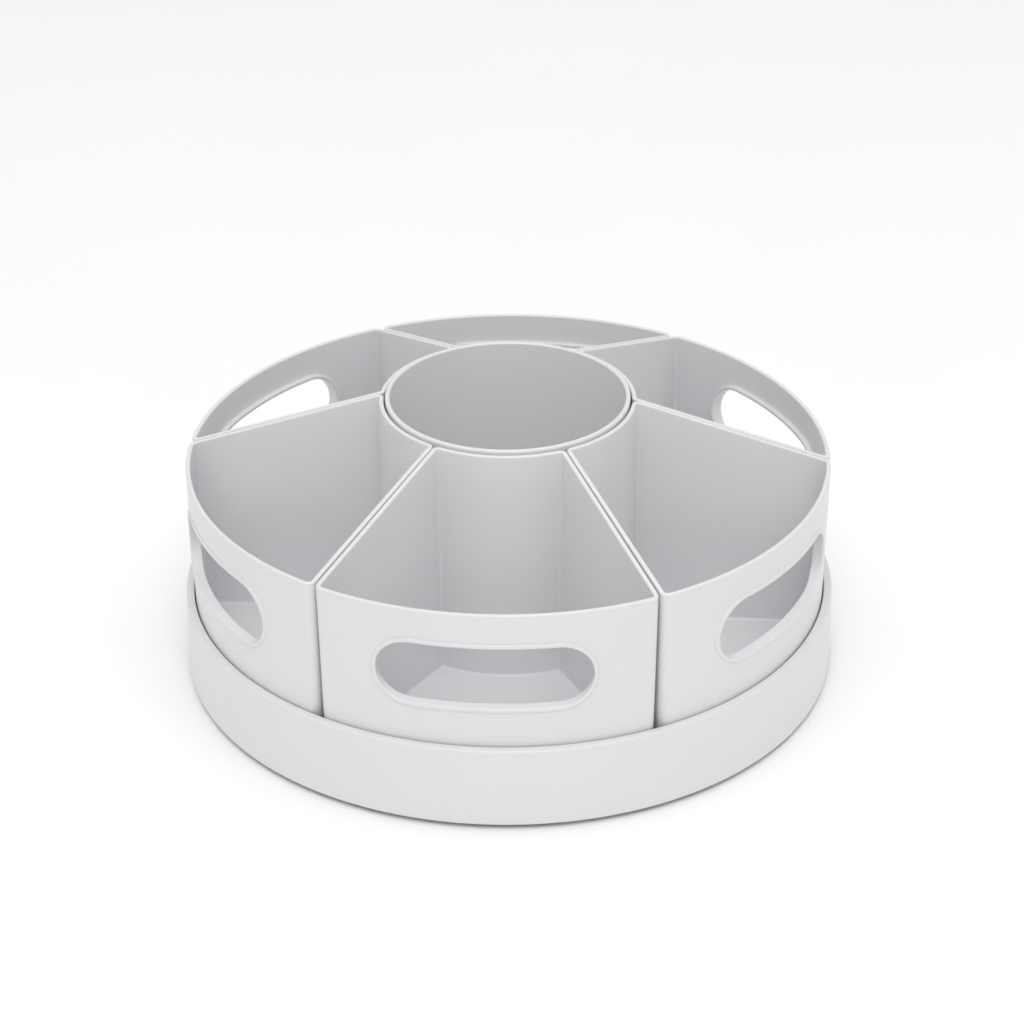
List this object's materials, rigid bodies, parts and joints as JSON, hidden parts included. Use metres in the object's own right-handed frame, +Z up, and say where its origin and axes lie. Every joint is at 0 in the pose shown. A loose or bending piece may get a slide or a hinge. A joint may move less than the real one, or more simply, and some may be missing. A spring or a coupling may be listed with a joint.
{
  "type": "rotating desk organizer",
  "caption": "Round rotating desk organizer: a rimmed turntable tray holding lift-out wedge bins with oval hand slots around a round centre cup.",
  "frame": {"origin": "on the desk, under the centre of the turntable, at the underside of the feet", "axes": "+Z up along the turntable's axis; -Y towards the middle of bin_1, the bin at the front of the picture"},
  "size_m": [0.28, 0.28, 0.1224],
  "materials": {
    "white_plastic": "satin",
    "base_plastic": "matte",
    "race_plastic": "satin",
    "ball_steel": "polished",
    "zinc_steel": "satin",
    "foot_rubber": "matte"
  },
  "bodies": {
    "base": {"base_plate": "base_plastic", "rubber_foot_1": "foot_rubber", "rubber_foot_2": "foot_rubber", "rubber_foot_3": "foot_rubber", "rubber_foot_4": "foot_rubber", "rubber_foot_5": "foot_rubber", "rubber_foot_6": "foot_rubber", "lower_race": "race_plastic", "pivot_washer": "zinc_steel", "pivot_screw": "zinc_steel"},
    "turntable": {"tray": "white_plastic", "upper_race": "race_plastic"},
    "ball_ring": {"ball_cage": "race_plastic", "bearing_balls": "ball_steel"},
    "cup": {"center_cup": "white_plastic"},
    "wedge_bin_1": {"bin_1": "white_plastic"},
    "wedge_bin_2": {"bin_2": "white_plastic"},
    "wedge_bin_3": {"bin_3": "white_plastic"},
    "wedge_bin_4": {"bin_4": "white_plastic"},
    "wedge_bin_5": {"bin_5": "white_plastic"},
    "wedge_bin_6": {"bin_6": "white_plastic"}
  },
  "joints": [
    {"name": "tray_spin", "type": "hinge", "parent": "base", "child": "turntable", "pos_m": [0, 0, 0.0156], "axis": [0, 0, 1], "continuous": true},
    {"name": "ball_ring_spin", "type": "hinge", "parent": "base", "child": "ball_ring", "pos_m": [0, 0, 0.0088], "axis": [0, 0, 1], "continuous": true},
    {"name": "bin_1_lift", "type": "slide", "parent": "turntable", "child": "wedge_bin_1", "axis": [0, 0, 1], "range_m": [0, 0.116]},
    {"name": "bin_2_lift", "type": "slide", "parent": "turntable", "child": "wedge_bin_2", "axis": [0, 0, 1], "range_m": [0, 0.116]},
    {"name": "bin_3_lift", "type": "slide", "parent": "turntable", "child": "wedge_bin_3", "axis": [0, 0, 1], "range_m": [0, 0.116]},
    {"name": "bin_4_lift", "type": "slide", "parent": "turntable", "child": "wedge_bin_4", "axis": [0, 0, 1], "range_m": [0, 0.116]},
    {"name": "bin_5_lift", "type": "slide", "parent": "turntable", "child": "wedge_bin_5", "axis": [0, 0, 1], "range_m": [0, 0.116]},
    {"name": "bin_6_lift", "type": "slide", "parent": "turntable", "child": "wedge_bin_6", "axis": [0, 0, 1], "range_m": [0, 0.116]},
    {"name": "cup_lift", "type": "slide", "parent": "turntable", "child": "cup", "axis": [0, 0, 1], "range_m": [0, 0.116]}
  ],
  "couplings": [
    {"joint": "ball_ring_spin", "follows": "tray_spin", "ratio": 0.5}
  ]
}
